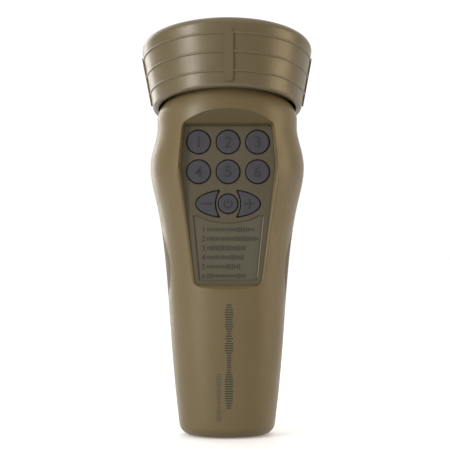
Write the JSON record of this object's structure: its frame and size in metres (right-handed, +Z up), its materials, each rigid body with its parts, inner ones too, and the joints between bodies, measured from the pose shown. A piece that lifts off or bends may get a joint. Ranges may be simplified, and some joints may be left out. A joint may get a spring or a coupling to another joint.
{
  "type": "electronic game caller",
  "caption": "Hand-held electronic game caller: flashlight-shaped grip with a recessed keypad, leaning ringed bell over a speaker, and a hinged battery door.",
  "frame": {"origin": "centre of the base, on the surface that the caller stands on", "axes": "+Z up along the grip, -Y out through the keypad, +X to the right of a person facing the keypad"},
  "size_m": [0.0772, 0.0767, 0.1839],
  "materials": {
    "shell_plastic": "fine matte mould texture, olive tan",
    "plate_plastic": "fine matte, slightly greener than the shells",
    "label_film": "printed matte film",
    "key_rubber": "charcoal silicone, satin",
    "grip_rubber": "soft matte elastomer, shell colour",
    "seal_rubber": "black matte",
    "web_silicone": "translucent grey silicone",
    "board_laminate": "green solder mask",
    "chip_resin": "black moulded resin",
    "capacitor_can": "brushed can",
    "zinc_steel": "zinc plated",
    "spring_steel": "nickel plated",
    "tray_plastic": "black moulded",
    "cell_sleeve": "printed cell sleeve",
    "grille_metal": "black powder coat",
    "basket_steel": "black pressed steel",
    "magnet_ferrite": "ferrite and plated steel",
    "coil_copper": "enamelled copper",
    "cone_paper": "pressed black paper",
    "foam_roll": "black foam rubber",
    "wire_plastic": "red and black insulation"
  },
  "bodies": {
    "housing": {"front_shell": "shell_plastic", "rear_shell": "shell_plastic", "bell": "shell_plastic", "seam_gasket": "seal_rubber", "foot_pad": "seal_rubber", "side_grip_left": "grip_rubber", "side_grip_right": "grip_rubber", "faceplate": "plate_plastic", "legend_label": "label_film", "keypad_web": "web_silicone", "switch_domes": "spring_steel", "circuit_board": "board_laminate", "chips": "chip_resin", "capacitors": "capacitor_can", "board_screws": "zinc_steel", "shell_screws": "zinc_steel", "battery_tray": "tray_plastic", "tray_screws": "zinc_steel", "cell_1": "cell_sleeve", "cell_2": "cell_sleeve", "cell_3": "cell_sleeve", "spring_contacts": "spring_steel", "flat_contacts": "spring_steel", "hinge_pin": "zinc_steel", "door_gasket": "seal_rubber", "neck_seal": "seal_rubber", "speaker_frame": "basket_steel", "speaker_magnet": "magnet_ferrite", "cone_surround": "foam_roll", "speaker_gasket": "seal_rubber", "speaker_screws": "zinc_steel", "grille": "grille_metal", "grille_ring": "shell_plastic", "battery_wires": "wire_plastic", "speaker_wires": "wire_plastic"},
    "key_1": {"key_1": "key_rubber"},
    "key_2": {"key_2": "key_rubber"},
    "key_3": {"key_3": "key_rubber"},
    "key_4": {"key_4": "key_rubber"},
    "key_5": {"key_5": "key_rubber"},
    "key_6": {"key_6": "key_rubber"},
    "volume_down_key": {"volume_down_key": "key_rubber"},
    "volume_up_key": {"volume_up_key": "key_rubber"},
    "power_key": {"power_key": "key_rubber"},
    "battery_door": {"battery_door": "shell_plastic"},
    "door_latch": {"door_latch": "plate_plastic"},
    "cone_assembly": {"speaker_cone": "cone_paper", "dust_cap": "cone_paper", "voice_coil": "coil_copper"}
  },
  "joints": [
    {"name": "key_1_press", "type": "slide", "parent": "housing", "child": "key_1", "axis": [0, 1, 0], "range_m": [0, 0.001], "stiffness_N_per_m": 900},
    {"name": "key_2_press", "type": "slide", "parent": "housing", "child": "key_2", "axis": [0, 1, 0], "range_m": [0, 0.001], "stiffness_N_per_m": 900},
    {"name": "key_3_press", "type": "slide", "parent": "housing", "child": "key_3", "axis": [0, 1, 0], "range_m": [0, 0.001], "stiffness_N_per_m": 900},
    {"name": "key_4_press", "type": "slide", "parent": "housing", "child": "key_4", "axis": [0, 1, 0], "range_m": [0, 0.001], "stiffness_N_per_m": 900},
    {"name": "key_5_press", "type": "slide", "parent": "housing", "child": "key_5", "axis": [0, 1, 0], "range_m": [0, 0.001], "stiffness_N_per_m": 900},
    {"name": "key_6_press", "type": "slide", "parent": "housing", "child": "key_6", "axis": [0, 1, 0], "range_m": [0, 0.001], "stiffness_N_per_m": 900},
    {"name": "volume_down_key_press", "type": "slide", "parent": "housing", "child": "volume_down_key", "axis": [0, 1, 0], "range_m": [0, 0.001], "stiffness_N_per_m": 900},
    {"name": "volume_up_key_press", "type": "slide", "parent": "housing", "child": "volume_up_key", "axis": [0, 1, 0], "range_m": [0, 0.001], "stiffness_N_per_m": 900},
    {"name": "power_key_press", "type": "slide", "parent": "housing", "child": "power_key", "axis": [0, 1, 0], "range_m": [0, 0.001], "stiffness_N_per_m": 900},
    {"name": "battery_door_hinge", "type": "hinge", "parent": "housing", "child": "battery_door", "pos_m": [0, 0.01936, 0.013], "axis": [-1, 0, 0], "range_deg": [0, 85]},
    {"name": "door_latch_slide", "type": "slide", "parent": "battery_door", "child": "door_latch", "axis": [0, 0.0732, 0.9973], "range_m": [0, 0.004]},
    {"name": "cone_excursion", "type": "slide", "parent": "housing", "child": "cone_assembly", "axis": [0, 0.2419, 0.9703], "range_m": [-0.0006, 0.0006], "stiffness_N_per_m": 1500}
  ]
}
